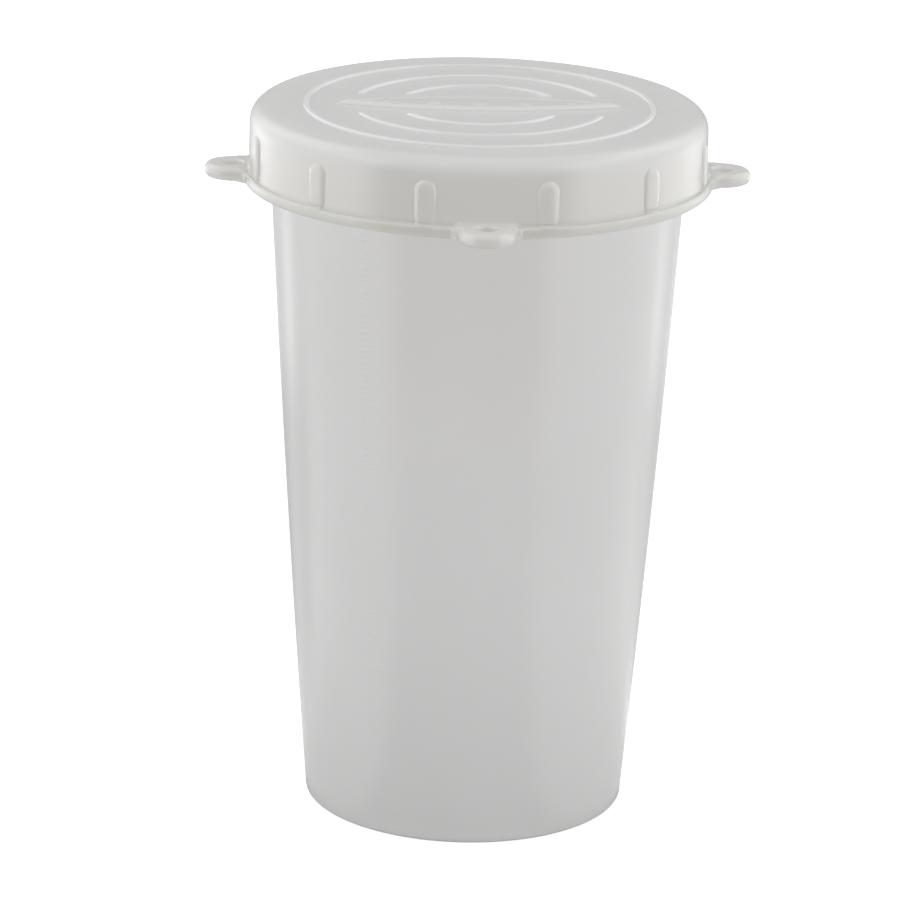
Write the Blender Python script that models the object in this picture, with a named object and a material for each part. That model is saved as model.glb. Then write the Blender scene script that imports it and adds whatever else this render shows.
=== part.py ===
"""Screw-lid beaker for cheese making: a tapered cup with a thread at its rim, a screw lid with
four finger ears, and a loose sealing ring between them. Metres, +Z up, origin at the middle of
the cup's base, one ear towards -Y."""

import math

import bmesh
import bpy
from mathutils import Matrix, Vector

# Driving dimensions of the cup
NECK_SEAT = 0.1562  # height where the tapered wall ends and the lid's lower edge comes to rest
RIM_TOP = 0.1706
BASE_RADIUS = 0.0392  # outside of the tapered wall, carried down to the table
TOP_RADIUS = 0.04975  # outside of the tapered wall at NECK_SEAT
WALL_BULGE = 0.00053  # how far the wall swells outwards halfway up
CUP_WALL = 0.00155
NECK_RADIUS = 0.0502
NECK_BORE = 0.0482
FOOT_INNER = 0.0330  # the cup stands on the flat ring outside this radius
FOOT_HEIGHT = 0.0008
FLOOR_TOP = 0.0026
BASE_CORNER = 0.0008
FLOOR_CORNER = 0.0032  # inner rounding between floor and wall

# Driving dimensions of the lid
LID_RADIUS = 0.0550
SKIRT_FOOT_RADIUS = 0.0552
SKIRT_BORE = 0.0532
PLATE_TOP = 0.1744
PLATE_UNDER = 0.1724
SHOULDER = 0.0041
COLLAR_RADIUS = 0.0566
COLLAR_TOP = 0.1589
COLLAR_FILLET = 0.0006  # hollow rounding between the skirt and the collar
CENTRING_RING = (0.0460, 0.0473)  # inner and outer radius of the lip that drops inside the rim
CENTRING_FOOT = 0.1689

# Raised rings on the lid, and the plain badge that breaks the two inner ones
OUTER_RING = 0.0416
BROKEN_RINGS = (0.0303, 0.0198)
RING_HEIGHT = 0.0005
RING_FOOT_WIDTH = 0.0017
RING_TOP_WIDTH = 0.0011
BADGE_CLEARANCE = 0.0100  # the broken rings stop this far from the badge's middle line
BADGE_LENGTH = 0.0700
BADGE_WIDTH = 0.0120
BADGE_HEIGHT = 0.0009
DROP_HEIGHT = 0.0003
DROP_SIZES = ((-0.022, 0.0050), (-0.011, 0.0064), (0.0, 0.0076), (0.011, 0.0064), (0.022, 0.0050))

# Grip ribs and finger ears on the lid's skirt
RIB_COUNT = 12
RIB_WIDTH = 0.0050
RIB_FOOT = 0.1582
RIB_TOP = 0.1694
RIB_TIP_RADIUS = 0.0561
EAR_COUNT = 4
EAR_TIP_RADIUS = 0.0657
EAR_WIDTH = 0.0142
EAR_NOSE = 0.0094  # length of the rounded nose that makes up the ear
EAR_FULLNESS = 2.25  # 2 would make the nose half an ellipse, more makes it squarer
EAR_FLARES = ((-0.0024, 0.0024), (-0.0003, 0.0012), (0.0008, 0.0003))
EAR_FOOT = 0.1563
EAR_TOP = 0.1597
EAR_ROUNDING = 0.0013
EYE_RADIUS = 0.0030  # hole through each ear
EYE_CENTRE_RADIUS = 0.0589

# Four-start screw thread, the same lead on cup and lid
STARTS = 4
LEAD = 0.0140
THREAD_SPAN = math.radians(80)
THREAD_MIDDLE = 0.1638  # height of the neck's thread at the middle of each segment
NECK_CREST = 0.0522
LID_CREST = 0.0509
CREST_WIDTH = 0.0011
BURIED_WIDTH = 0.0023
END_RISE = 0.0004  # how far a segment still stands out of its wall at its two ends

# Sealing ring
SEAL_INNER = 0.0476
SEAL_OUTER = 0.0510
SEAL_GAP = 0.0003

# How finely round shapes are cut into flats
SEGMENTS = 60
ARC_STEPS = 4
THREAD_STEPS = 10
BURY = 0.0005  # how far an added shape starts inside the wall that it grows from
MERGE = 1e-6
SHARP_ANGLE = math.radians(35)


def clear_scene():
    for obj in list(bpy.data.objects):
        bpy.data.objects.remove(obj, do_unlink=True)


def plastic(name, colour, roughness, clear=0.0):
    material = bpy.data.materials.new(name)
    material.use_nodes = True
    shader = material.node_tree.nodes["Principled BSDF"]
    shader.inputs["Base Color"].default_value = (*colour, 1.0)
    shader.inputs["Roughness"].default_value = roughness
    shader.inputs["Metallic"].default_value = 0.0
    shader.inputs["Transmission Weight"].default_value = clear
    return material


def placed(name, bm, material=None):
    """Turns a bmesh into an object of the scene, faces out and shaded smooth."""
    bmesh.ops.recalc_face_normals(bm, faces=bm.faces)
    mesh = bpy.data.meshes.new(name)
    bm.to_mesh(mesh)
    bm.free()
    mesh.shade_smooth()
    mesh.set_sharp_from_angle(angle=SHARP_ANGLE)
    obj = bpy.data.objects.new(name, mesh)
    bpy.context.scene.collection.objects.link(obj)
    if material:
        mesh.materials.append(material)
    return obj


def hidden(obj):
    """Marks a shape that only adds to or cuts another one."""
    obj.hide_render = True
    obj.display_type = "WIRE"
    return obj


def combine(obj, other, operation):
    boolean = obj.modifiers.new(other.name, "BOOLEAN")
    boolean.object = hidden(other)
    boolean.operation = operation
    boolean.solver = "EXACT"


def arc(centre, radius, first, last, steps=ARC_STEPS):
    """Points on a circle between two angles in degrees, both ends included."""
    angles = [math.radians(first + (last - first) * i / steps) for i in range(steps + 1)]
    return [(centre[0] + radius * math.cos(a), centre[1] + radius * math.sin(a)) for a in angles]


def spun(outline, closed, angle=2 * math.pi, steps=SEGMENTS):
    """Spins (radius, height) points about Z. A closed outline makes a ring, an open one runs from
    axis to axis. Less than a full turn gets an end face at each end."""
    bm = bmesh.new()
    points = [bm.verts.new((radius, 0.0, height)) for radius, height in outline]
    edges = [bm.edges.new(pair) for pair in zip(points, points[1:])]
    if closed:
        edges.append(bm.edges.new((points[-1], points[0])))
    full = angle >= 2 * math.pi
    made = bmesh.ops.spin(
        bm,
        geom=points + edges,
        cent=(0, 0, 0),
        axis=(0, 0, 1),
        angle=angle,
        steps=steps,
        use_merge=full,
    )
    if not full:
        bm.faces.new(points)
        bm.faces.new([part for part in made["geom_last"] if isinstance(part, bmesh.types.BMVert)])
    bmesh.ops.remove_doubles(bm, verts=bm.verts, dist=MERGE)
    return bm


def block(outline, depth, rounding):
    """A flat shape raised by depth along +Z, with its upper rim rounded."""
    bm = bmesh.new()
    foot = bm.faces.new([bm.verts.new((x, y, 0.0)) for x, y in outline])
    lifted = bmesh.ops.extrude_face_region(bm, geom=[foot], use_keep_orig=True)["geom"]
    top = [part for part in lifted if isinstance(part, bmesh.types.BMVert)]
    rim = [part for part in lifted if isinstance(part, bmesh.types.BMEdge)]
    bmesh.ops.translate(bm, verts=top, vec=(0, 0, depth))
    if rounding:
        bmesh.ops.bevel(bm, geom=rim, offset=rounding, segments=2, profile=0.5, affect="EDGES")
    return bm


def gathered(name, shapes):
    """One object holding several separate bodies, each given as (bmesh, place)."""
    whole = bmesh.new()
    for bm, place in shapes:
        bm.transform(place)
        mesh = bpy.data.meshes.new(name)
        bm.to_mesh(mesh)
        bm.free()
        whole.from_mesh(mesh)
        bpy.data.meshes.remove(mesh)
    return placed(name, whole)


def around(angle, offset=Vector((0, 0, 0)), tilt=Matrix.Identity(4)):
    """A place reached by a tilt, a shift away from the axis, and a turn about Z."""
    return Matrix.Rotation(angle, 4, "Z") @ Matrix.Translation(offset) @ tilt


def wall_radius(height):
    share = height / NECK_SEAT
    straight = BASE_RADIUS + (TOP_RADIUS - BASE_RADIUS) * share
    return straight + WALL_BULGE * 4 * share * (1 - share)


def cup_outline():
    """From the middle of the underside, up the outside, over the rim and down to the floor."""
    corner = (wall_radius(BASE_CORNER) - BASE_CORNER, BASE_CORNER)
    levels = [NECK_SEAT * i / 6 for i in range(1, 6)]
    outside = [(0.0, FOOT_HEIGHT), (FOOT_INNER - FOOT_HEIGHT, FOOT_HEIGHT), (FOOT_INNER, 0.0)]
    outside += arc(corner, BASE_CORNER, -90, 0)
    outside += [(wall_radius(level), level) for level in levels]
    outside += [(TOP_RADIUS, NECK_SEAT), (NECK_RADIUS, NECK_SEAT + 0.0016)]
    rounding = (NECK_RADIUS - NECK_BORE) / 2
    rim = arc((NECK_RADIUS - rounding, RIM_TOP - rounding), rounding, 0, 180, 6)
    inside = [(NECK_BORE, NECK_SEAT + 0.0010)]
    inside += [(wall_radius(level) - CUP_WALL, level) for level in reversed(levels)]
    low = FLOOR_TOP + FLOOR_CORNER
    floor_corner = (wall_radius(low) - CUP_WALL - FLOOR_CORNER, low)
    inside += arc(floor_corner, FLOOR_CORNER, 0, -90)
    return outside + rim + inside + [(0.0, FLOOR_TOP)]


def ring_section(radius):
    """Section of a raised ring, starting a little below the lid's flat top."""
    foot = RING_FOOT_WIDTH / 2
    top = RING_TOP_WIDTH / 2
    low = PLATE_TOP - BURY
    high = PLATE_TOP + RING_HEIGHT
    return [
        (radius - foot, low),
        (radius - foot, PLATE_TOP),
        (radius - top, high),
        (radius + top, high),
        (radius + foot, PLATE_TOP),
        (radius + foot, low),
    ]


def lid_outline():
    """From the middle of the top, down the outside, up the inside and back under the plate."""
    edge = 0.0004
    shoulder = (LID_RADIUS - SHOULDER, PLATE_TOP - SHOULDER)
    outside = [(0.0, PLATE_TOP)] + ring_section(OUTER_RING)[1:-1]
    outside += arc(shoulder, SHOULDER, 90, 0, 5)
    hollow = (SKIRT_FOOT_RADIUS + COLLAR_FILLET, COLLAR_TOP + COLLAR_FILLET)
    outside += arc(hollow, COLLAR_FILLET, 180, 270, 3)
    outside += [
        (COLLAR_RADIUS - edge, COLLAR_TOP),
        (COLLAR_RADIUS, COLLAR_TOP - edge),
        (COLLAR_RADIUS, NECK_SEAT + edge),
        (COLLAR_RADIUS - edge, NECK_SEAT),
    ]
    lip_inner, lip_outer = CENTRING_RING
    inside = [
        (SKIRT_BORE + edge, NECK_SEAT),
        (SKIRT_BORE, NECK_SEAT + edge),
        (SKIRT_BORE, PLATE_UNDER - 2 * edge),
        (SKIRT_BORE - 2 * edge, PLATE_UNDER),
        (lip_outer, PLATE_UNDER),
        (lip_outer, CENTRING_FOOT + edge),
        (lip_outer - edge, CENTRING_FOOT),
        (lip_inner, CENTRING_FOOT),
        (lip_inner, PLATE_UNDER),
        (0.0, PLATE_UNDER),
    ]
    return outside + inside


def thread(name, wall, crest, middle):
    """The raised segments of one wall's thread: helical bars that start inside the wall."""
    buried = wall + math.copysign(BURY, wall - crest)
    low_crest = wall + math.copysign(END_RISE, crest - wall)
    bm = bmesh.new()
    for start in range(STARTS):
        sections = []
        for step in range(THREAD_STEPS + 1):
            turn = (step / THREAD_STEPS - 0.5) * THREAD_SPAN
            angle = turn + math.pi / 4 + start * 2 * math.pi / STARTS
            height = middle + LEAD * turn / (2 * math.pi)
            at_end = step in (0, THREAD_STEPS)
            tip = low_crest if at_end else crest
            corners = [
                (buried, -BURIED_WIDTH / 2),
                (tip, -CREST_WIDTH / 2),
                (tip, CREST_WIDTH / 2),
                (buried, BURIED_WIDTH / 2),
            ]
            sections.append([
                bm.verts.new((radius * math.cos(angle), radius * math.sin(angle), height + rise))
                for radius, rise in corners
            ])
        for near, far in zip(sections, sections[1:]):
            for i in range(len(near)):
                j = (i + 1) % len(near)
                bm.faces.new((near[i], near[j], far[j], far[i]))
        bm.faces.new(sections[0])
        bm.faces.new(sections[-1])
    return placed(name, bm)


def stadium(width, length, steps=6):
    """An upright outline with half-round ends."""
    radius = width / 2
    reach = length / 2 - radius
    return arc((0, reach), radius, 0, 180, steps) + arc((0, -reach), radius, 180, 360, steps)


def ear_outline():
    """Plan of one ear along +X: a full, round tongue that widens where it meets the collar."""
    half = EAR_WIDTH / 2
    flare = [(COLLAR_RADIUS + out, half + extra) for out, extra in EAR_FLARES]
    lower = [(x, -y) for x, y in flare]
    power = 2 / EAR_FULLNESS
    nose = []
    for x, y in arc((0, 0), 1, -78, 78, 12):
        along = EAR_TIP_RADIUS - EAR_NOSE + EAR_NOSE * x**power
        nose.append((along, math.copysign(half * abs(y) ** power, y)))
    return lower + nose + flare[::-1]


def ear():
    """One ear along +X, both its rims rounded but for the edge of the root, which the skirt buries."""
    bm = block(ear_outline(), EAR_TOP - EAR_FOOT, 0)
    root = min(point.co.x for point in bm.verts) + MERGE
    rims = []
    for edge in bm.edges:
        one, other = (point.co for point in edge.verts)
        level = abs(one.z - other.z) < MERGE
        if level and max(one.x, other.x) > root:
            rims.append(edge)
    bmesh.ops.bevel(bm, geom=rims, offset=EAR_ROUNDING, segments=2, profile=0.5, affect="EDGES")
    return bm


def lens_outline(length, width, steps=10):
    """Two shallow arcs that meet in a point at each end."""
    radius = (length**2 + width**2) / (4 * width)
    half = math.degrees(math.asin(length / 2 / radius))
    drop = radius - width / 2
    upper = arc((0, -drop), radius, 90 - half, 90 + half, steps)
    lower = arc((0, drop), radius, 270 - half, 270 + half, steps)
    return upper[:-1] + lower[:-1]


def drop_outline(length):
    """A milk drop, pointed towards +Y and round at its other end."""
    radius = length * 0.3
    low = -length / 2 + radius
    return arc((0, low), radius, 160, 380, 8) + [(0, length / 2)]


def broken_ring(radius):
    """The two arcs of a raised ring that stops on both sides of the badge."""
    stop = math.asin(BADGE_CLEARANCE / radius)
    span = math.pi - 2 * stop
    steps = round(SEGMENTS * span / (2 * math.pi))
    for half in range(2):
        yield spun(ring_section(radius), True, span, steps), around(stop + half * math.pi)


def lid_relief():
    """Everything that stands out of the lid's turned body: ribs, ears, inner rings and badge."""
    upright = Matrix.Rotation(math.radians(90), 4, "Y") @ Matrix.Rotation(math.radians(90), 4, "Z")
    rib_root = LID_RADIUS - BURY
    rib_middle = Vector((rib_root, 0, (RIB_FOOT + RIB_TOP) / 2))
    shapes = []
    for i in range(RIB_COUNT):
        rib = block(stadium(RIB_WIDTH, RIB_TOP - RIB_FOOT), RIB_TIP_RADIUS - rib_root, 0.0005)
        shapes.append((rib, around(2 * math.pi * (i + 0.5) / RIB_COUNT, rib_middle, upright)))
    for i in range(EAR_COUNT):
        shapes.append((ear(), around(2 * math.pi * i / EAR_COUNT, Vector((0, 0, EAR_FOOT)))))
    for radius in BROKEN_RINGS:
        shapes.extend(broken_ring(radius))
    badge = block(lens_outline(BADGE_LENGTH, BADGE_WIDTH), BURY + BADGE_HEIGHT, 0.0003)
    shapes.append((badge, Matrix.Translation((0, 0, PLATE_TOP - BURY))))
    return gathered("lid_relief", shapes)


def badge_drops():
    """The row of milk drops on the badge."""
    foot = PLATE_TOP + BADGE_HEIGHT - BURY / 2
    shapes = []
    for across, length in DROP_SIZES:
        drop = block(drop_outline(length), BURY / 2 + DROP_HEIGHT, 0.0002)
        shapes.append((drop, Matrix.Translation((across, 0, foot))))
    return gathered("badge_drops", shapes)


def ear_eyes():
    """The cutters of the round hole through each ear."""
    thickness = EAR_TOP - EAR_FOOT
    place = Vector((EYE_CENTRE_RADIUS, 0, EAR_FOOT - thickness))
    outline = arc((0, 0), EYE_RADIUS, 0, 360, 24)[:-1]
    shapes = [
        (block(outline, 3 * thickness, 0), around(2 * math.pi * i / EAR_COUNT, place))
        for i in range(EAR_COUNT)
    ]
    return gathered("ear_eyes", shapes)


def make_cup():
    milky = plastic("cup", (0.80, 0.80, 0.78), 0.32, 0.2)
    cup = placed("cup", spun(cup_outline(), False), milky)
    combine(cup, thread("neck_thread", NECK_RADIUS, NECK_CREST, THREAD_MIDDLE), "UNION")


def make_lid():
    white = plastic("lid", (0.84, 0.84, 0.82), 0.28)
    lid = placed("lid", spun(lid_outline(), False), white)
    half_pitch = LEAD / STARTS / 2
    lid_thread = thread("lid_thread", SKIRT_BORE, LID_CREST, THREAD_MIDDLE - half_pitch)
    combine(lid, lid_thread, "UNION")
    combine(lid, lid_relief(), "UNION")
    combine(lid, badge_drops(), "UNION")
    combine(lid, ear_eyes(), "DIFFERENCE")


def make_seal():
    soft = plastic("lid_gasket", (0.72, 0.72, 0.70), 0.6)
    edge = 0.0003
    low = RIM_TOP + SEAL_GAP
    high = PLATE_UNDER - SEAL_GAP
    outline = [
        (SEAL_INNER, low + edge),
        (SEAL_INNER, high - edge),
        (SEAL_INNER + edge, high),
        (SEAL_OUTER - edge, high),
        (SEAL_OUTER, high - edge),
        (SEAL_OUTER, low + edge),
        (SEAL_OUTER - edge, low),
        (SEAL_INNER + edge, low),
    ]
    placed("lid_gasket", spun(outline, True), soft)


clear_scene()
make_cup()
make_lid()
make_seal()
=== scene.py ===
"""The look of a screw-lid cheese beaker: fine moulded surfaces for the cup, lid and seal around the
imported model, milky plastic materials, a pale studio and the camera. Metres, +Z up."""

import math

import bpy
import numpy as np
from mathutils import Matrix, Vector


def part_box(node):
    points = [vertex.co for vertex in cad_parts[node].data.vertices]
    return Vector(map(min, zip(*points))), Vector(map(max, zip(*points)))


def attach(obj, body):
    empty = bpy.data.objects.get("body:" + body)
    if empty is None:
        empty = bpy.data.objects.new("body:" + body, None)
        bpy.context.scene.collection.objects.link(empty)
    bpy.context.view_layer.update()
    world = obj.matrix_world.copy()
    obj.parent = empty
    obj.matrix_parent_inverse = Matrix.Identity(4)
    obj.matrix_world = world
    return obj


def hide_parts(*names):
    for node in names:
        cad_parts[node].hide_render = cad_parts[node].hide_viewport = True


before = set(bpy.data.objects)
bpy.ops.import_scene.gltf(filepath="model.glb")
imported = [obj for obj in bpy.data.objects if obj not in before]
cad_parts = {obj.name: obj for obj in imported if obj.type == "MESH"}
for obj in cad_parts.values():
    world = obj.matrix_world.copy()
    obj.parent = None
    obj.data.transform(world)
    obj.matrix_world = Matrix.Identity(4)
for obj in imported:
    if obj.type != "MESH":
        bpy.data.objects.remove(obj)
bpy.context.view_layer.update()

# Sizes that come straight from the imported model
RIM_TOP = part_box("cup")[1][2]
LID_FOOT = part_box("lid")[0][2]
LID_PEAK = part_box("lid")[1][2]
EAR_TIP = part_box("lid")[1][0]
SEAL_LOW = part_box("lid_gasket")[0][2]
SEAL_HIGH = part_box("lid_gasket")[1][2]
SEAL_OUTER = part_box("lid_gasket")[1][0]
SEAL_INNER = SEAL_OUTER - 0.0034

# Cup
BASE_RADIUS = 0.0392
TOP_RADIUS = 0.04975
WALL_BULGE = 0.00053
CUP_WALL = 0.00155
NECK_RADIUS = 0.0502
NECK_BORE = 0.0482
FOOT_INNER = 0.0330
FOOT_HEIGHT = 0.0008
FLOOR_TOP = 0.0026
BASE_CORNER = 0.0008
FLOOR_CORNER = 0.0032
GATE_RADIUS = 0.0016  # the nub under the floor where the mould was filled
GATE_HEIGHT = 0.0004

# Lid
LID_RADIUS = 0.0550
SKIRT_FOOT_RADIUS = 0.0552
SKIRT_BORE = 0.0532
BADGE_HEIGHT = 0.0009
DROP_HEIGHT = 0.0003
PLATE_TOP = LID_PEAK - BADGE_HEIGHT - DROP_HEIGHT
PLATE_UNDER = PLATE_TOP - 0.0020
SHOULDER = 0.0041
COLLAR_RADIUS = 0.0566
COLLAR_TOP = LID_FOOT + 0.0027
COLLAR_EDGE = 0.0008
COLLAR_FILLET = 0.0006
LIP_INNER = 0.0460
LIP_OUTER = 0.0473
LIP_FOOT = PLATE_UNDER - 0.0035
EJECTOR_REACH = 0.032  # how far from the lid's middle the four ejector dents lie
EJECTOR_RADIUS = 0.0034
EJECTOR_DEPTH = 0.00012

# Relief on the lid's top
OUTER_RING = 0.0416
BROKEN_RINGS = (0.0303, 0.0198)
RING_HEIGHT = 0.0005
RING_HALF_WIDTH = 0.00085
RING_HALF_TOP = 0.00045
BADGE_CLEARANCE = 0.0100
BADGE_LENGTH = 0.0700
BADGE_WIDTH = 0.0120
DROP_SIZES = ((-0.022, 0.0050), (-0.011, 0.0064), (0.0, 0.0076), (0.011, 0.0064), (0.022, 0.0050))

# Grip ribs and finger ears
RIB_COUNT = 12
RIB_WIDTH = 0.0050
RIB_FOOT = LID_FOOT + 0.0020
RIB_TOP = LID_FOOT + 0.0132
RIB_HEIGHT = 0.0008
RIB_EDGE = 0.0015
EAR_COUNT = 4
EAR_HALF_WIDTH = 0.0071
EAR_NOSE = 0.0094
EAR_FULLNESS = 2.25
EAR_SPREAD = math.radians(8.7)
EAR_FOOT = LID_FOOT + 0.0001
EAR_TOP = LID_FOOT + 0.0035
EAR_EDGE = 0.0015
EAR_FILLET = 0.0009
EYE_CENTRE = 0.0589
EYE_RADIUS = 0.0024
EYE_ROUNDING = 0.0008

# Screw thread, in one segment for each start. THREAD_FADE is how fast a segment's ends run out.
STARTS = 4
LEAD = 0.0140
THREAD_SPAN = math.radians(80)
THREAD_FADE = math.radians(6)
THREAD_MIDDLE = LID_FOOT + 0.0076
THREAD_REACH = 0.0034  # half the height that one segment of the thread takes up
NECK_RISE = 0.0020
LID_RISE = 0.0023
ROOT_WIDTH = 0.0020
CREST_WIDTH = 0.0010

# Measuring scale on the cup's wall: one mark for each 10 ml
MARK_VOLUME = 10e-6
FIRST_MARK = 10
MARK_SIDE = math.radians(-125.8)
MARK_SPANS = (math.radians(2.6), math.radians(3.7), math.radians(5.4))
MARK_HALF_HEIGHT = 0.00034
MARK_RISE = 0.00005
MARK_BURY = 0.00012

# Plastics: the pale and the deep end of each one's faint cloudiness, then tones that paint shade and
# highlight on parts of the lid
CUP_TONES = ((0.853, 0.847, 0.842), (0.838, 0.832, 0.827))
LID_TONES = ((0.79, 0.789, 0.783), (0.775, 0.774, 0.768))
SEAL_TONES = ((0.8, 0.8, 0.77), (0.76, 0.76, 0.73))
# Painted warm shade on the lid's skirt
SKIRT_PAINTED_SHADE = (0.78, 0.773, 0.75)
# Painted shade on the lid's thick collar
COLLAR_PAINTED_SHADE = (0.72, 0.715, 0.68)
# Painted highlight on the raised relief of the lid's top
RELIEF_PAINTED_HIGHLIGHT = (0.9, 0.898, 0.89)

# Studio. The tent is a round floor under a dome, and FRONT_SIDE is the middle of its dim front.
FLOOR_TONE = (0.75, 0.75, 0.75)
FLOOR_GLOW = 0.7
WORLD_LIGHT = 0.64
BACKDROP = 1.1
TENT_RADIUS = 1.5
TENT_FLOOR = 0.003
TENT_HOLE = 0.03
ROOF_GLOW = 0.45
FRONT_SIDE = math.radians(-95)

# Camera
LENS = 193.3
CAMERA_PLACE = (-0.0473, -1.1279, 0.4456)
CAMERA_FORWARD = (0.03546, 0.95256, -0.30227)
CAMERA_RIGHT = (0.99928, -0.03024, 0.02290)

# How finely the surfaces are cut
WALL_ANGLES = 360
THREAD_ANGLES = 720
PLATE_ANGLES = 640
SKIRT_ROWS = 44
SHOULDER_ROWS = 16
FINE_ROW = 0.00028
WALL_ROW = 0.0025
COARSE_ROW = 0.004
CREASE = math.radians(22)


def eased(value):
    """0 below 0, 1 above 1, and a smooth S between."""
    share = np.clip(value, 0.0, 1.0)
    return share * share * (3 - 2 * share)


def full_turn(count):
    return np.linspace(-math.pi, math.pi, count, endpoint=False)


def wrapped(angles):
    return (angles + math.pi) % (2 * math.pi) - math.pi


# ---------------------------------------------------------------- turned surfaces


def circle(radius, height, angles):
    """One ring of points. Radius and height may be one number or one for each angle."""
    points = np.empty((len(angles), 3))
    points[:, 0] = radius * np.cos(angles)
    points[:, 1] = radius * np.sin(angles)
    points[:, 2] = height
    return points


def band(first_a, count_a, angles_a, first_b, count_b, angles_b):
    """Faces between two rings of points that both run once around the axis."""
    if count_a == count_b:
        steps = np.arange(count_a)
        ahead = (steps + 1) % count_a
        near = first_a + steps, first_a + ahead
        far = first_b + ahead, first_b + steps
        return np.column_stack((*near, *far)).tolist()
    faces = []
    turns_a = np.append(angles_a, angles_a[0] + 2 * math.pi)
    turns_b = np.append(angles_b, angles_b[0] + 2 * math.pi)
    i = j = 0
    while i < count_a or j < count_b:
        if j == count_b or (i < count_a and turns_a[i + 1] <= turns_b[j + 1]):
            faces.append((first_a + i, first_a + (i + 1) % count_a, first_b + j % count_b))
            i += 1
        else:
            faces.append((first_a + i % count_a, first_b + (j + 1) % count_b, first_b + j))
            j += 1
    return faces


def turned(name, rings, low_middle=None, high_middle=None):
    """A closed body from rings of points. It starts at a middle point under the first ring and ends
    at one over the last; with neither, the last ring joins the first."""
    points = list(rings)
    firsts = np.cumsum([0] + [len(ring) for ring in rings])
    angles = [np.unwrap(np.arctan2(ring[:, 1], ring[:, 0])) for ring in rings]
    faces = []
    pairs = list(zip(range(len(rings)), range(1, len(rings))))
    if low_middle is None:
        pairs.append((len(rings) - 1, 0))
    for a, b in pairs:
        faces += band(firsts[a], len(rings[a]), angles[a], firsts[b], len(rings[b]), angles[b])
    if low_middle is not None:
        for middle, ring, flipped in ((low_middle, 0, True), (high_middle, len(rings) - 1, False)):
            centre = sum(len(part) for part in points)
            points.append(np.array([middle]))
            count = len(rings[ring])
            for i in range(count):
                near = int(firsts[ring]) + i
                far = int(firsts[ring]) + (i + 1) % count
                faces.append((centre, far, near) if flipped else (centre, near, far))
    mesh = bpy.data.meshes.new(name)
    mesh.from_pydata(np.vstack(points).tolist(), [], faces)
    mesh.validate()
    mesh.shade_smooth()
    obj = bpy.data.objects.new(name, mesh)
    bpy.context.scene.collection.objects.link(obj)
    return obj


def reshape(body, others, operation):
    """Joins the other shapes to a closed body, or cuts them out of it, and takes them away."""
    for other in others:
        change = body.modifiers.new(other.name, "BOOLEAN")
        change.object = other
        change.operation = operation
        change.solver = "MANIFOLD"
    bpy.context.view_layer.update()
    made = bpy.data.meshes.new_from_object(body.evaluated_get(bpy.context.evaluated_depsgraph_get()))
    body.modifiers.clear()
    body.data = made
    for other in others:
        bpy.data.objects.remove(other)
    made.shade_smooth()
    made.set_sharp_from_angle(angle=CREASE)


def softened(corners, steps=4):
    """An outline of (radius, height) points from corners given as (radius, height, rounding)."""
    outline = []
    last = len(corners) - 1
    for i, (x, y, rounding) in enumerate(corners):
        if not rounding or i in (0, last):
            outline.append((x, y))
            continue
        here = Vector((x, y))
        back = Vector(corners[i - 1][:2]) - here
        ahead = Vector(corners[i + 1][:2]) - here
        half = back.angle(ahead) / 2
        reach = rounding / math.tan(half)
        start = here + back.normalized() * reach
        centre = here + (back.normalized() + ahead.normalized()).normalized() * rounding / math.sin(half)
        from_centre = start - centre
        sweep = math.pi - 2 * half
        turn = math.copysign(sweep, -back.cross(ahead))
        for step in range(steps + 1):
            spoke = from_centre.copy()
            spoke.rotate(Matrix.Rotation(turn * step / steps, 2))
            outline.append(tuple(centre + spoke))
    return outline


def filled(outline, longest):
    """The same outline with points added so that no stretch is longer than this."""
    dense = [outline[0]]
    for (x0, y0), (x1, y1) in zip(outline, outline[1:]):
        parts = max(1, math.ceil(math.hypot(x1 - x0, y1 - y0) / longest))
        dense += [(x0 + (x1 - x0) * k / parts, y0 + (y1 - y0) * k / parts) for k in range(1, parts + 1)]
    return dense


def rising(low, high, longest):
    """Evenly spaced heights from low to high, both included."""
    parts = max(1, math.ceil(abs(high - low) / longest))
    return [low + (high - low) * k / parts for k in range(parts + 1)]


def thread_share(angles, height, middle):
    """How far up its flank the thread is at each angle of a ring: 0 on the wall, 1 on the crest."""
    share = np.zeros(len(angles))
    flank = (ROOT_WIDTH - CREST_WIDTH) / 2
    for start in range(STARTS):
        turn = wrapped(angles - math.pi / 4 - start * 2 * math.pi / STARTS)
        across = np.abs(height - middle - LEAD * turn / (2 * math.pi))
        sides = eased((ROOT_WIDTH / 2 - across) / flank)
        ends = eased((THREAD_SPAN / 2 - np.abs(turn)) / THREAD_FADE)
        share = np.maximum(share, sides * ends)
    return share


# ---------------------------------------------------------------- cup


def wall_radius(height):
    """Outside of the tapered wall, which swells a little halfway up."""
    share = height / LID_FOOT
    straight = BASE_RADIUS + (TOP_RADIUS - BASE_RADIUS) * share
    return straight + WALL_BULGE * 4 * share * (1 - share)


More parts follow.
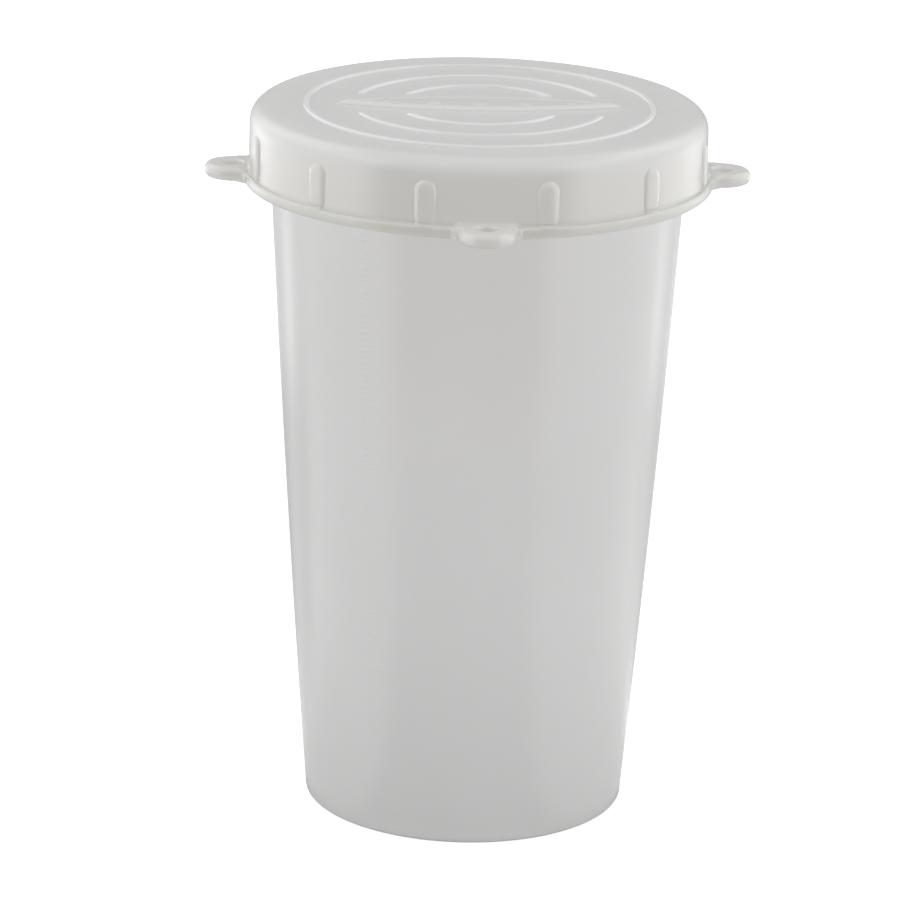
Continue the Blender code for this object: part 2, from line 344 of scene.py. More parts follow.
def cup_outside(wall, fine):
    """Rings from the nub under the cup, out over the foot ring and up the wall to the top of the
    neck's thread."""
    thread_low = THREAD_MIDDLE - THREAD_REACH
    under = softened([
        (0.0004, FOOT_HEIGHT - GATE_HEIGHT, 0),
        (GATE_RADIUS, FOOT_HEIGHT - GATE_HEIGHT, 0.0003),
        (GATE_RADIUS + GATE_HEIGHT, FOOT_HEIGHT, 0.0003),
        (FOOT_INNER - FOOT_HEIGHT, FOOT_HEIGHT, 0.0005),
        (FOOT_INNER, 0.0, 0.0004),
        (BASE_RADIUS, 0.0, BASE_CORNER),
        (wall_radius(2 * BASE_CORNER), 2 * BASE_CORNER, 0),
    ], 8)
    rings = [circle(r, z, wall) for r, z in filled(under, COARSE_ROW)]
    rings += [circle(wall_radius(z), z, wall) for z in rising(2 * BASE_CORNER, LID_FOOT, WALL_ROW)[1:]]
    step = softened([
        (TOP_RADIUS, LID_FOOT, 0),
        (TOP_RADIUS + 0.0001, LID_FOOT + 0.0008, 0.0004),
        (NECK_RADIUS, LID_FOOT + 0.0016, 0.0004),
        (NECK_RADIUS, thread_low, 0),
    ])
    rings += [circle(r, z, fine) for r, z in step[1:]]
    for z in rising(thread_low, THREAD_MIDDLE + THREAD_REACH, FINE_ROW)[1:]:
        rings.append(circle(NECK_RADIUS + NECK_RISE * thread_share(fine, z, THREAD_MIDDLE), z, fine))
    return rings


def cup_inside(wall):
    """Rings from the top of the thread over the rim and down the inner wall to the floor."""
    rim = 0.0007
    bore_foot = LID_FOOT - 0.010
    over = softened([
        (NECK_RADIUS, THREAD_MIDDLE + THREAD_REACH, 0),
        (NECK_RADIUS, RIM_TOP, rim),
        (NECK_BORE, RIM_TOP, rim),
        (NECK_BORE, LID_FOOT + 0.0010, 0.002),
        (wall_radius(bore_foot) - CUP_WALL, bore_foot, 0),
    ], 6)
    rings = [circle(r, z, wall) for r, z in filled(over[1:], COARSE_ROW)]
    for z in rising(bore_foot, 2 * FLOOR_CORNER, 2 * WALL_ROW)[1:]:
        rings.append(circle(wall_radius(z) - CUP_WALL, z, wall))
    inside = softened([
        (wall_radius(2 * FLOOR_CORNER) - CUP_WALL, 2 * FLOOR_CORNER, 0),
        (wall_radius(FLOOR_TOP) - CUP_WALL, FLOOR_TOP, FLOOR_CORNER),
        (0.002, FLOOR_TOP, 0),
    ], 10)
    return rings + [circle(r, z, wall) for r, z in filled(inside[1:], COARSE_ROW)]


def make_cup():
    wall = full_turn(WALL_ANGLES)
    rings = cup_outside(wall, full_turn(THREAD_ANGLES)) + cup_inside(wall)
    cup = turned("cup_shell", rings, (0, 0, FOOT_HEIGHT - GATE_HEIGHT), (0, 0, FLOOR_TOP))
    reshape(cup, [make_marks()], "UNION")
    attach(cup, "cup_body")
    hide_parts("cup")
    return cup


def mark_heights():
    """Heights at which the cup holds each further 10 ml, by adding up thin slices."""
    slice_height = 0.00002
    heights = np.arange(FLOOR_TOP, LID_FOOT - 0.0012, slice_height)
    inner = wall_radius(heights) - CUP_WALL
    volume = np.cumsum(math.pi * inner**2 * slice_height)
    count = int(volume[-1] / MARK_VOLUME)
    return [float(np.interp(k * MARK_VOLUME, volume, heights)) for k in range(1, count + 1)]


def make_marks():
    """The moulded scale: low, round-backed bars, longer at each 50 ml and 100 ml."""
    points = []
    faces = []
    across = 7
    for number, height in enumerate(mark_heights(), start=1):
        if number < FIRST_MARK:
            continue
        size = 2 if number % 10 == 0 else 1 if number % 5 == 0 else 0
        span = MARK_SPANS[size]
        along = 10 + 6 * size
        rise = MARK_RISE * (0.45 + 0.55 * height / LID_FOOT)
        for i in range(along + 1):
            share = i / along
            ends = math.sqrt(max(0.0, 1 - abs(2 * share - 1) ** 8))
            angle = MARK_SIDE + span * share
            for j in range(across):
                side = math.pi * j / (across - 1)
                z = height - MARK_HALF_HEIGHT * math.cos(side) * max(ends, 0.3)
                r = wall_radius(z) - MARK_BURY + (rise * ends + MARK_BURY) * math.sin(side)
                points.append((r * math.cos(angle), r * math.sin(angle), z))
        start = len(points) - (along + 1) * across
        for i in range(along):
            for j in range(across):
                a = start + i * across + j
                b = start + i * across + (j + 1) % across
                faces.append((a, a + across, b + across, b))
        faces.append([start + j for j in range(across)])
        faces.append([start + along * across + j for j in reversed(range(across))])
    mesh = bpy.data.meshes.new("marks")
    mesh.from_pydata(points, [], faces)
    marks = bpy.data.objects.new("marks", mesh)
    bpy.context.scene.collection.objects.link(marks)
    return marks


# ---------------------------------------------------------------- lid


def drop_depth(x, y, length):
    """How deep inside a milk drop a point lies: a circle below, running out to a point at +Y."""
    radius = length * 0.3
    top = length - radius
    side = np.abs(x)
    up = y + length / 2 - radius
    slope = radius / top
    lean = math.sqrt(1 - slope * slope)
    against = -slope * side + lean * up
    by_circle = radius - np.hypot(side, up)
    by_tip = -np.hypot(side, up - top)
    by_flank = radius - (lean * side + slope * up)
    inside = np.where(against < 0, by_circle, by_flank)
    return np.where(against > lean * top, by_tip, inside)


def top_relief(x, y):
    """Height of the rings and the badge above the lid's flat top."""
    radius = np.hypot(x, y)
    flank = RING_HALF_WIDTH - RING_HALF_TOP
    relief = eased((RING_HALF_WIDTH - np.abs(radius - OUTER_RING)) / flank) * RING_HEIGHT
    clear_of_badge = eased((np.abs(y) - BADGE_CLEARANCE + 0.0002) / 0.0008)
    for ring in BROKEN_RINGS:
        side = eased((RING_HALF_WIDTH - np.abs(radius - ring)) / flank)
        relief = np.maximum(relief, side * clear_of_badge * RING_HEIGHT)
    bow = (BADGE_LENGTH**2 + BADGE_WIDTH**2) / (4 * BADGE_WIDTH)
    depth = bow - np.hypot(x, np.abs(y) + bow - BADGE_WIDTH / 2)
    badge = eased(depth / 0.0010) * BADGE_HEIGHT
    border = eased((depth - 0.0008) / 0.0004) * eased((0.0019 - depth) / 0.0004) * 0.6 * DROP_HEIGHT
    drops = np.zeros_like(x)
    for across, length in DROP_SIZES:
        inside = np.clip(drop_depth(x - across, y, length) / 0.0011, 0, 1)
        drops = np.maximum(drops, np.sqrt(1 - (1 - inside) ** 2) * DROP_HEIGHT)
    return np.maximum(relief, badge + np.maximum(border, drops))


def rib_rise(angles, heights):
    """How far the grip ribs stand out of the skirt: round-ended upright pads."""
    step = 2 * math.pi / RIB_COUNT
    across = LID_RADIUS * np.abs((angles % step) - step / 2)
    reach = (RIB_TOP - RIB_FOOT) / 2 - RIB_WIDTH / 2
    along = np.maximum(0.0, np.abs(heights - (RIB_TOP + RIB_FOOT) / 2) - reach)
    depth = RIB_WIDTH / 2 - np.hypot(across, along)
    dome = np.clip(depth / RIB_EDGE, 0, 1)
    return RIB_HEIGHT * np.sqrt(1 - (1 - dome) ** 2) * (0.86 + 0.14 * eased(depth / (RIB_WIDTH / 2)))


def ear_plan():
    """Half of one ear's outline along +X, from the collar to the tip, as (x, y) points."""
    middle = EAR_TIP - EAR_NOSE
    power = 2 / EAR_FULLNESS
    nose_start = math.radians(14)

    def nose(a):
        along = middle + EAR_NOSE * math.sin(a) ** power
        return Vector((along, EAR_HALF_WIDTH * max(math.cos(a), 0) ** power))

    start = Vector((math.cos(EAR_SPREAD), math.sin(EAR_SPREAD))) * COLLAR_RADIUS
    bend_y = EAR_HALF_WIDTH + 0.00025
    bend = Vector((start.x + (start.y - bend_y) * math.tan(EAR_SPREAD), bend_y))
    end = nose(nose_start)
    points = []
    for k in range(15):
        t = k / 14
        points.append(start * (1 - t) ** 2 + bend * 2 * t * (1 - t) + end * t**2)
    for k in range(1, 33):
        points.append(nose(nose_start + (math.pi / 2 - nose_start) * k / 32))
    return points


def rim_outline():
    """The outline of collar and ears seen from above, once around, with a point at every angle that
    the ears, the ribs and the round stretches need."""
    half = np.array([tuple(point) for point in ear_plan()])
    ear = np.vstack((half * (1, -1), half[-2::-1]))
    ear_angles = np.arctan2(ear[:, 1], ear[:, 0])
    ear_reach = np.hypot(ear[:, 0], ear[:, 1])
    step = 2 * math.pi / EAR_COUNT
    rib_half = RIB_WIDTH / 2 / LID_RADIUS
    rib_flank = np.linspace(rib_half - 0.024, rib_half + 0.004, 12)
    rib_middles = [2 * math.pi * (k + 0.5) / RIB_COUNT for k in range(RIB_COUNT)]
    wanted = [full_turn(480)]
    wanted += [ear_angles + k * step for k in range(EAR_COUNT)]
    wanted += [middle + side * rib_flank for middle in rib_middles for side in (-1, 1)]
    angles = np.unique(np.round(wrapped(np.concatenate(wanted)), 5))
    folded = angles - np.round(angles / step) * step
    reach = np.interp(folded, ear_angles, ear_reach, left=COLLAR_RADIUS, right=COLLAR_RADIUS)
    return angles, circle(reach, 0.0, angles)[:, :2]


def in_ear(x, y):
    """Position of points relative to the middle line of the nearest ear: along it and across it."""
    step = 2 * math.pi / EAR_COUNT
    angle = np.arctan2(y, x)
    nearest = np.round(angle / step) * step
    return x * np.cos(nearest) + y * np.sin(nearest), -x * np.sin(nearest) + y * np.cos(nearest)


def ear_share(plan):
    """1 on an ear, 0 on the collar between the ears."""
    _, across = in_ear(plan[:, 0], plan[:, 1])
    return eased((EAR_HALF_WIDTH + 0.0012 - np.abs(across)) / 0.0024)


def rim_top(plan, wall):
    """Height of the upper face of collar and ears, with the hollow rounding up to the wall."""
    share = ear_share(plan)
    fillet = COLLAR_FILLET + (EAR_FILLET - COLLAR_FILLET) * share
    away = np.clip(np.hypot(plan[:, 0], plan[:, 1]) - wall, 0, fillet)
    hollow = fillet - np.sqrt(fillet**2 - (fillet - away) ** 2)
    return COLLAR_TOP + (EAR_TOP - COLLAR_TOP) * share + hollow


def rim_under(plan):
    """Height of the lower face, which steps up a little from the collar to the ears."""
    along, _ = in_ear(plan[:, 0], plan[:, 1])
    return LID_FOOT + (EAR_FOOT - LID_FOOT) * eased((along - COLLAR_RADIUS) / 0.0012)


def rim_rings(angles, outline, wall):
    """Rings from the lid's lower inner edge, out under the ears, round their rim and back over the
    top to the skirt's wall."""
    ahead = np.roll(outline, -1, axis=0) - np.roll(outline, 1, axis=0)
    ahead /= np.linalg.norm(ahead, axis=1)[:, None]
    outward = np.column_stack((ahead[:, 1], -ahead[:, 0]))
    along, _ = in_ear(outline[:, 0], outline[:, 1])
    edge = COLLAR_EDGE + (EAR_EDGE - COLLAR_EDGE) * eased((along - COLLAR_RADIUS) / 0.0025)
    inset = outline - outward * edge[:, None]
    inner = circle(SKIRT_BORE + COLLAR_EDGE, 0.0, angles)[:, :2]
    rings = []
    for share in np.linspace(0.0, 1.0, 11):
        plan = inner + (inset - inner) * share
        rings.append(np.column_stack((plan, rim_under(plan))))
    low = rim_under(inset)
    high = rim_top(inset, wall)
    for k in range(1, 9):
        a = math.pi / 2 * k / 8
        plan = inset + outward * (edge * math.sin(a))[:, None]
        rings.append(np.column_stack((plan, low + edge * (1 - math.cos(a)))))
    for k in range(8):
        a = math.pi / 2 * k / 8
        plan = inset + outward * (edge * math.cos(a))[:, None]
        rings.append(np.column_stack((plan, high - edge * (1 - math.sin(a)))))
    foot = circle(wall, 0.0, angles)[:, :2]
    for k in range(18, -1, -1):
        plan = foot + (inset - foot) * (k / 18) ** 1.7
        rings.append(np.column_stack((plan, rim_top(plan, wall))))
    return rings


def lid_inside(angles):
    """Rings of the plate's underside, the centring lip and the bore with its thread, down to the lid's
    lower inner edge."""
    middle = THREAD_MIDDLE - LEAD / STARTS / 2
    thread_low = middle - THREAD_REACH
    thread_high = middle + THREAD_REACH
    under = softened([
        (0.0006, PLATE_UNDER, 0),
        (LIP_INNER, PLATE_UNDER, 0.0005),
        (LIP_INNER, LIP_FOOT, 0.0003),
        (LIP_OUTER, LIP_FOOT, 0.0004),
        (LIP_OUTER, PLATE_UNDER, 0.0004),
        (SKIRT_BORE, PLATE_UNDER, 0.0009),
        (SKIRT_BORE, thread_high, 0),
    ], 5)
    rings = [circle(r, z + ejector_marks(r, z, angles), angles) for r, z in filled(under, 0.0015)]
    for z in reversed(rising(thread_low, thread_high, FINE_ROW)[:-1]):
        rings.append(circle(SKIRT_BORE - LID_RISE * thread_share(angles, z, middle), z, angles))
    foot = softened([
        (SKIRT_BORE, thread_low, 0),
        (SKIRT_BORE, LID_FOOT, 0.0004),
        (SKIRT_BORE + 0.001, LID_FOOT, 0),
    ])
    return rings + [circle(r, z, angles) for r, z in foot[1:-1]]


def skirt_rings(angles, low):
    """Rings up the skirt with its grip ribs, from the heights where the collar ends, and over the
    shoulder."""
    high = PLATE_TOP - SHOULDER
    rings = []
    for k in range(1, SKIRT_ROWS + 1):
        heights = low + (high - low) * k / SKIRT_ROWS
        taper = (LID_RADIUS - SKIRT_FOOT_RADIUS) * (heights - COLLAR_TOP) / (high - COLLAR_TOP)
        rings.append(circle(SKIRT_FOOT_RADIUS + taper + rib_rise(angles, heights), heights, angles))
    for k in range(1, SHOULDER_ROWS + 1):
        a = math.pi / 2 * k / SHOULDER_ROWS
        r = LID_RADIUS - SHOULDER + SHOULDER * math.cos(a)
        rings.append(circle(r, high + SHOULDER * math.sin(a), angles))
    return rings


def top_rings(angles):
    """Rings over the lid's top, from the shoulder to the middle, close together where relief is."""
    ring_reach = 0.0012
    badge_reach = 0.0355
    radii = rising(LID_RADIUS - SHOULDER, OUTER_RING + ring_reach, 0.003)[1:]
    radii += rising(OUTER_RING + ring_reach, OUTER_RING - ring_reach, 0.00015)[1:]
    radii += rising(OUTER_RING - ring_reach, badge_reach, 0.002)[1:]
    radii += rising(badge_reach, 0.0009, FINE_ROW)[1:]
    rings = []
    for r in radii:
        flat = circle(r, 0.0, angles)
        rings.append(circle(r, PLATE_TOP + top_relief(flat[:, 0], flat[:, 1]), angles))
    return rings


def make_lid():
    angles, outline = rim_outline()
    rib_reach = rib_rise(angles, COLLAR_TOP + COLLAR_FILLET)
    room = COLLAR_RADIUS - COLLAR_EDGE - SKIRT_FOOT_RADIUS - 0.0001
    rings = lid_inside(full_turn(THREAD_ANGLES))
    rings += rim_rings(angles, outline, SKIRT_FOOT_RADIUS + np.minimum(rib_reach, room))
    rings += skirt_rings(angles, rings[-1][:, 2])
    rings += top_rings(full_turn(PLATE_ANGLES))
    crown = PLATE_TOP + float(top_relief(np.zeros(1), np.zeros(1))[0])
    lid = turned("lid_shell", rings, (0, 0, PLATE_UNDER), (0, 0, crown))
    pierce_ears(lid)
    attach(lid, "lid_body")
    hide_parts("lid")
    # The lid lets most of the light through, so it lays no shadow on the cup below
    lid.visible_shadow = False
    lid.visible_diffuse = False
    return lid


def pierce_ears(lid):
    """Cuts the round eye through each ear, its edges rounded over above and below."""
    end = math.radians(65)
    beyond = 0.0006
    waist = (EYE_RADIUS + EYE_ROUNDING, (EAR_FOOT + EAR_TOP) / 2)
    reach = (EAR_TOP - EAR_FOOT) / 2 - EYE_ROUNDING
    curve = []
    for k in range(9):
        a = end * k / 8
        curve.append((waist[0] - EYE_ROUNDING * math.cos(a), reach + EYE_ROUNDING * math.sin(a)))
    curve.append((curve[-1][0] + beyond * math.sin(end), curve[-1][1] + beyond * math.cos(end)))
    profile = [(r, waist[1] - z) for r, z in reversed(curve)] + [(r, waist[1] + z) for r, z in curve]
    spokes = full_turn(96)
    cutters = []
    for k in range(EAR_COUNT):
        turn = 2 * math.pi * k / EAR_COUNT
        rings = [circle(r, z, spokes) for r, z in profile]
        cutter = turned("eye", rings, (0, 0, profile[0][1]), (0, 0, profile[-1][1]))
        cutter.location = (EYE_CENTRE * math.cos(turn), EYE_CENTRE * math.sin(turn), 0)
        cutters.append(cutter)
    reshape(lid, cutters, "DIFFERENCE")


def ejector_marks(radius, height, angles):
    """Four shallow round dents that the mould's pins leave under the plate."""
    if abs(height - PLATE_UNDER) > 1e-6 or radius > LIP_INNER - 0.001:
        return 0.0
    along, across = in_ear(radius * np.cos(angles + math.pi / 4), radius * np.sin(angles + math.pi / 4))
    away = np.hypot(along - EJECTOR_REACH, across)
    return EJECTOR_DEPTH * eased((EJECTOR_RADIUS - away) / 0.0006)


# ---------------------------------------------------------------- seal


def make_seal():
    """A flat ring with two fine grooves around its underside."""
    middle = (SEAL_INNER + SEAL_OUTER) / 2
    groove = 0.00018
    corner = 0.00028
    section = softened([
        (middle, SEAL_LOW, 0),
        (SEAL_OUTER - 0.0009, SEAL_LOW, 0.0001),
        (SEAL_OUTER - 0.0007, SEAL_LOW + groove, 0.0001),
        (SEAL_OUTER - 0.0005, SEAL_LOW, 0.0001),
        (SEAL_OUTER, SEAL_LOW, corner),
        (SEAL_OUTER, SEAL_HIGH, corner),
        (SEAL_INNER, SEAL_HIGH, corner),
        (SEAL_INNER, SEAL_LOW, corner),
        (SEAL_INNER + 0.0005, SEAL_LOW, 0.0001),
        (SEAL_INNER + 0.0007, SEAL_LOW + groove, 0.0001),
        (SEAL_INNER + 0.0009, SEAL_LOW, 0.0001),
        (middle, SEAL_LOW, 0),
    ])[:-1]
    angles = full_turn(WALL_ANGLES)
    seal = turned("sealing_ring", [circle(r, z, angles) for r, z in section])
    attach(seal, "lift_body")
    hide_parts("lid_gasket")
    return seal


# ---------------------------------------------------------------- materials


def add(tree, kind, place, **values):
    node = tree.nodes.new(kind)
    node.location = place
    for key, value in values.items():
        setattr(node, key, value)
    return node


def noise(tree, coordinates, stretch, scale, detail, place):
    """Noise over the object, drawn out or squeezed along its axes by stretch."""
    mapping = add(tree, "ShaderNodeMapping", (place[0] - 200, place[1]))
    mapping.inputs["Scale"].default_value = stretch
    tree.links.new(coordinates, mapping.inputs["Vector"])
    texture = add(tree, "ShaderNodeTexNoise", place)
    texture.inputs["Scale"].default_value = scale
    texture.inputs["Detail"].default_value = detail
    texture.inputs["Roughness"].default_value = 0.55
    tree.links.new(mapping.outputs["Vector"], texture.inputs["Vector"])
    return texture.outputs["Fac"]


def ramp(tree, source, low, high, place, cut=(0.35, 0.65)):
    """From low to high while the source runs over the cut."""
    node = add(tree, "ShaderNodeMapRange", place)
    node.inputs["From Min"].default_value = cut[0]
    node.inputs["From Max"].default_value = cut[1]
    node.inputs["To Min"].default_value = low
    node.inputs["To Max"].default_value = high
    tree.links.new(source, node.inputs["Value"])
    return node.outputs["Result"]


def tint(tree, source, low, high, place):
    node = add(tree, "ShaderNodeMix", place, data_type="RGBA")
    node.inputs["A"].default_value = (*low, 1)
    node.inputs["B"].default_value = (*high, 1)
    tree.links.new(source, node.inputs["Factor"])
    return node.outputs["Result"]


def bumps(tree, layers, place):
    """Several heights in metres, one on top of another, as one normal."""
    normal = None
    for number, (source, height) in enumerate(layers):
        node = add(tree, "ShaderNodeBump", (place[0], place[1] - 200 * number))
        node.inputs["Strength"].default_value = 1.0
        node.inputs["Distance"].default_value = height
        tree.links.new(source, node.inputs["Height"])
        if normal:
            tree.links.new(normal, node.inputs["Normal"])
        normal = node.outputs["Normal"]
    return normal


def milky_plastic(name, tones, gloss, body, through):
    """Moulded translucent plastic: faintly cloudy colour and gloss, and a skin that is not quite flat.
    Gloss is the middle roughness, body the share of light that scatters inside and through how far."""
    pale, deep = tones
    material = bpy.data.materials.new(name)
    material.use_nodes = True
    tree = material.node_tree
    shader = tree.nodes["Principled BSDF"]
    place = add(tree, "ShaderNodeTexCoord", (-1200, 0)).outputs["Object"]
    cloud = noise(tree, place, (1, 1, 0.6), 30, 3, (-800, 300))
    smear = noise(tree, place, (1, 1, 0.35), 60, 2, (-800, 0))
    waves = noise(tree, place, (1, 1, 0.4), 32, 1, (-800, -300))
    grain = noise(tree, place, (1, 1, 1), 2600, 1, (-800, -600))
    colour = tint(tree, ramp(tree, cloud, 0, 1, (-560, 300)), deep, pale, (-320, 300))
    tree.links.new(colour, shader.inputs["Base Color"])
    tree.links.new(ramp(tree, smear, gloss - 0.02, gloss + 0.02, (-560, 0)), shader.inputs["Roughness"])
    heights = ((waves, 0.00003), (grain, 0.0000006))
    tree.links.new(bumps(tree, heights, (-320, -300)), shader.inputs["Normal"])
    shader.inputs["IOR"].default_value = 1.5
    shader.inputs["Subsurface Weight"].default_value = body
    shader.inputs["Subsurface Radius"].default_value = (1.0, 0.95, 0.88)
    shader.inputs["Subsurface Scale"].default_value = through
    return material


def times(tree, first, second, place):
    """Two shares multiplied, for where both hold."""
    node = add(tree, "ShaderNodeMath", place, operation="MULTIPLY")
    tree.links.new(first, node.inputs[0])
    tree.links.new(second, node.inputs[1])
    return node.outputs["Value"]


def mix_in_painted_light(tree, share, tone, place):
    """Mixes the plastic's colour towards another tone: here painted shade and painted highlight."""
    colour = tree.nodes["Principled BSDF"].inputs["Base Color"]
    mix = add(tree, "ShaderNodeMix", place, data_type="RGBA")
    mix.inputs["B"].default_value = (*tone, 1)
    tree.links.new(share, mix.inputs["Factor"])
    tree.links.new(colour.links[0].from_socket, mix.inputs["A"])
    tree.links.new(mix.outputs["Result"], colour)


def paint_lid_shade_and_highlight(material):
    """Paints light into the lid's colour: a little painted warm shade on the skirt, a deeper painted
    shade on the thick collar, and a painted highlight on the relief on the top, in place of the light
    that shines through them."""
    tree = material.node_tree
    place = add(tree, "ShaderNodeTexCoord", (-1200, 900)).outputs["Object"]
    parts = add(tree, "ShaderNodeSeparateXYZ", (-1000, 900))
    tree.links.new(place, parts.inputs["Vector"])
    height = parts.outputs["Z"]
    flat = add(tree, "ShaderNodeVectorMath", (-1000, 600), operation="MULTIPLY")
    flat.inputs[1].default_value = (1, 1, 0)
    tree.links.new(place, flat.inputs[0])
    reach = add(tree, "ShaderNodeVectorMath", (-800, 600), operation="LENGTH")
    tree.links.new(flat.outputs["Vector"], reach.inputs[0])
    # Painted warm shade: the lid below the shoulder a little darker and warmer than its top
    skirt = ramp(tree, height, 1, 0, (-800, 1400), (PLATE_TOP - SHOULDER - 0.002, PLATE_TOP - 0.001))
    mix_in_painted_light(tree, skirt, SKIRT_PAINTED_SHADE, (-300, 1100))
    # Painted shade: the collar's face darker than the skirt, away from the ears
    low = ramp(tree, height, 1, 0, (-800, 1200), (COLLAR_TOP + 0.0002, COLLAR_TOP + 0.0012))
    rim = (COLLAR_RADIUS, COLLAR_RADIUS + 0.0012)
    off_ears = ramp(tree, reach.outputs["Value"], 1, 0, (-600, 600), rim)
    mix_in_painted_light(tree, times(tree, low, off_ears, (-450, 900)), COLLAR_PAINTED_SHADE, (-300, 900))
    # Painted highlight: the raised rings and the sides of the badge paler than the plate
    above = ramp(tree, height, 0, 1, (-800, 1000), (PLATE_TOP + 0.0001, PLATE_TOP + 0.0003))
    below = ramp(tree, height, 1, 0, (-800, 800), (PLATE_TOP + 0.00075, PLATE_TOP + 0.0009))
    mix_in_painted_light(tree, times(tree, above, below, (-450, 700)), RELIEF_PAINTED_HIGHLIGHT, (-300, 700))


def wear(obj, material):
    obj.data.materials.clear()
    obj.data.materials.append(material)


# ---------------------------------------------------------------- studio


def seen(tree, strength, place):
    """A strength that only the camera's own rays meet."""
    rays = add(tree, "ShaderNodeLightPath", place)
    node = add(tree, "ShaderNodeMath", (place[0] + 200, place[1]), operation="MULTIPLY")
    node.inputs[1].default_value = strength
    tree.links.new(rays.outputs["Is Camera Ray"], node.inputs[0])
    return node.outputs["Value"]


def make_floor():
    bpy.ops.mesh.primitive_circle_add(vertices=96, radius=12, fill_type="NGON")
    floor = bpy.context.object
    floor.name = "floor"
    material = bpy.data.materials.new("pale_floor")
    material.use_nodes = True
    tree = material.node_tree
    shader = tree.nodes["Principled BSDF"]
    shader.inputs["Base Color"].default_value = (*FLOOR_TONE, 1)
    shader.inputs["Roughness"].default_value = 0.9
    shader.inputs["Specular IOR Level"].default_value = 0.1
    shader.inputs["Emission Color"].default_value = (1, 1, 1, 1)
    tree.links.new(seen(tree, FLOOR_GLOW, (-600, 0)), shader.inputs["Emission Strength"])
    wear(floor, material)


def mixed(low, high, share):
    return low + (high - low) * share


def glow_around(turn, radius, height):
    """How bright the tent is at each turn in degrees from the middle of its front, at one radius and
    height: dim in front, bright at both sides, dimmer behind, and a floor that darkens at the foot."""
    side = np.abs(turn)
    right = turn > 0
    outer = eased((radius - 0.27) / 0.13)
    far = eased((radius - 0.45) / 0.25)
    raised = math.degrees(math.atan2(height, radius))

    front = 0.95 - 0.35 * eased((radius - 0.27) / 0.06) - 0.45 * far + 0.15 * eased((raised - 15) / 40)
    front = front * eased((radius - 0.04) / 0.14)

    beside = mixed(1.65, 3.1, far) * mixed(0.3, 1.0, eased((radius + 0.015) / 0.2))
    beside = beside * (1 - 0.2 * eased(raised / 12))

    strip = 0.6 * outer * np.exp(-(((side - 127) / 7) ** 2))
    behind = (mixed(0.85, 1.25, outer) + 0.25 * right) * (1 - 0.38 * eased((side - 128) / 20)) + strip
    behind = mixed(behind, 0.45, far)

    to_side = eased((side - 33 - 9 * far) / 14)
    to_back = mixed(eased((side - 98 - 14 * right) / 17), eased((side - 125) / 40), far)
    around = mixed(mixed(front, beside, to_side), behind, to_back)
    return mixed(around, ROOF_GLOW, eased((raised - 50) / 20))


def warmth_around(turn, radius, height):
    """How warm the tent is: only the outer floor and the low wall in front."""
    in_front = 1 - eased((np.abs(turn) - 36) / 14)
    return in_front * eased((radius - 0.25) / 0.1) * (height < 0.3)


def make_surroundings():
    """A tent around the object that only gloss sees: floor, walls and roof with their own brightness."""
    profile = [(r, TENT_FLOOR) for r in rising(TENT_HOLE, TENT_RADIUS, 0.02)]
    for a in rising(0.0, 1.55, 0.03)[1:]:
        profile.append((TENT_RADIUS * math.cos(a), TENT_FLOOR + TENT_RADIUS * math.sin(a)))
    angles = full_turn(240)
    rings = [circle(r, z, angles) for r, z in profile]
    tent = turned("surroundings", rings, (0, 0, TENT_FLOOR), (0, 0, TENT_RADIUS))
    turn = np.degrees(wrapped(angles - FRONT_SIDE))
    middles = [0.0, ROOF_GLOW]
    glow = np.concatenate([glow_around(turn, r, z) for r, z in profile] + [middles])
    warmth = np.concatenate([warmth_around(turn, r, z) for r, z in profile] + [[0.0, 0.0]])
    colours = np.ones((len(glow), 4))
    colours[:, 0] = glow
    colours[:, 1] = glow * (1 - 0.2 * warmth)
    colours[:, 2] = glow * (1 - 0.45 * warmth)
    layer = tent.data.color_attributes.new("glow", "FLOAT_COLOR", "POINT")
    layer.data.foreach_set("color", colours.ravel())
    wear(tent, tent_glow())
    for rays in ("camera", "diffuse", "transmission", "volume_scatter", "shadow"):
        setattr(tent, f"visible_{rays}", False)


def tent_glow():
    """Light as bright as the tent's own colour layer says, for gloss to mirror."""
    material = bpy.data.materials.new("surroundings_glow")
    material.use_nodes = True
    material.cycles.emission_sampling = "NONE"
    tree = material.node_tree
    tree.nodes.clear()
    source = add(tree, "ShaderNodeAttribute", (-200, 0), attribute_name="glow")
    light = add(tree, "ShaderNodeEmission", (0, 0))
    light.inputs["Strength"].default_value = 1.0
    output = add(tree, "ShaderNodeOutputMaterial", (200, 0))
    tree.links.new(source.outputs["Color"], light.inputs["Color"])
    tree.links.new(light.outputs["Emission"], output.inputs["Surface"])
    return material


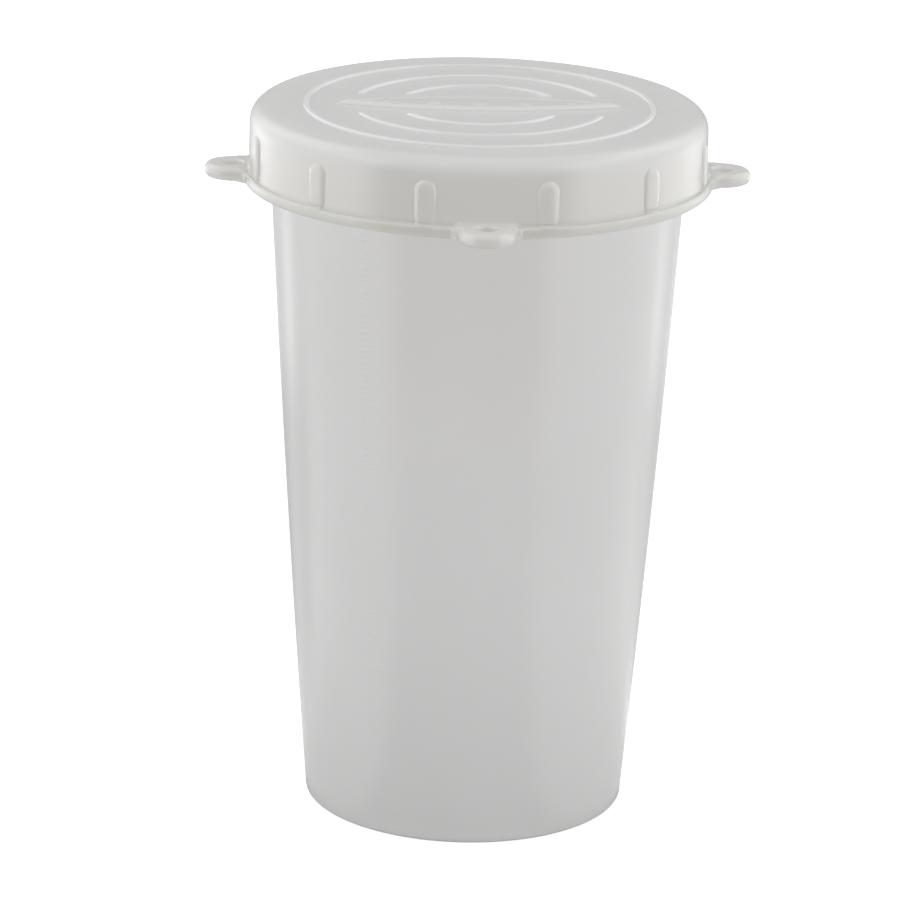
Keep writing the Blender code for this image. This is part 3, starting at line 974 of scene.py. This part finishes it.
def softbox(name, place, aim, width, height, power):
    """A soft rectangular lamp that gloss doesn't mirror, because the tent stands in for it there."""
    light = bpy.data.lights.new(name, "AREA")
    light.shape = "RECTANGLE"
    light.size = width
    light.size_y = height
    light.energy = power
    obj = bpy.data.objects.new(name, light)
    obj.location = place
    obj.rotation_euler = (Vector(aim) - Vector(place)).to_track_quat("-Z", "Y").to_euler()
    obj.visible_glossy = False
    bpy.context.scene.collection.objects.link(obj)


def make_world():
    """An even grey light from all around, in front of a backdrop that the camera sees as white."""
    world = bpy.data.worlds.new("studio")
    world.use_nodes = True
    tree = world.node_tree
    background = tree.nodes["Background"]
    background.inputs["Color"].default_value = (1, 1, 1, 1)
    total = add(tree, "ShaderNodeMath", (-200, 0), operation="ADD")
    total.inputs[1].default_value = WORLD_LIGHT
    tree.links.new(seen(tree, BACKDROP - WORLD_LIGHT, (-600, 0)), total.inputs[0])
    tree.links.new(total.outputs["Value"], background.inputs["Strength"])
    bpy.context.scene.world = world


def make_camera():
    camera = bpy.data.objects.new("camera", bpy.data.cameras.new("camera"))
    camera.data.lens = LENS
    camera.data.sensor_width = 36
    camera.data.clip_start = 0.05
    camera.data.clip_end = 30
    forward = Vector(CAMERA_FORWARD).normalized()
    right = Vector(CAMERA_RIGHT).normalized()
    up = right.cross(forward)
    turn = Matrix((right, up, -forward)).transposed().to_4x4()
    camera.matrix_world = Matrix.Translation(CAMERA_PLACE) @ turn
    bpy.context.scene.collection.objects.link(camera)
    bpy.context.scene.camera = camera


def make_studio():
    bpy.context.scene.view_settings.view_transform = "Standard"
    bpy.context.scene.view_settings.look = "None"
    make_floor()
    make_world()
    softbox("left_box", (-1.3, -0.7, 0.7), (0, 0, 0.1), 0.7, 1.0, 1)
    softbox("right_box", (1.3, -0.7, 0.7), (0, 0, 0.1), 0.7, 1.0, 1.2)
    softbox("top_box", (0, 0, 1.6), (0, 0, 0), 1.0, 1.0, 3.3)
    make_surroundings()


def main():
    cup = make_cup()
    lid = make_lid()
    seal = make_seal()
    wear(cup, milky_plastic("cup_plastic", CUP_TONES, gloss=0.15, body=0.6, through=0.002))
    lid_plastic = milky_plastic("lid_plastic", LID_TONES, gloss=0.22, body=0.6, through=0.003)
    # Paints shade on the lid's skirt and collar and a highlight on the relief of its top into its colour
    paint_lid_shade_and_highlight(lid_plastic)
    wear(lid, lid_plastic)
    wear(seal, milky_plastic("seal_rubber", SEAL_TONES, gloss=0.55, body=0.4, through=0.002))
    make_studio()
    make_camera()


main()
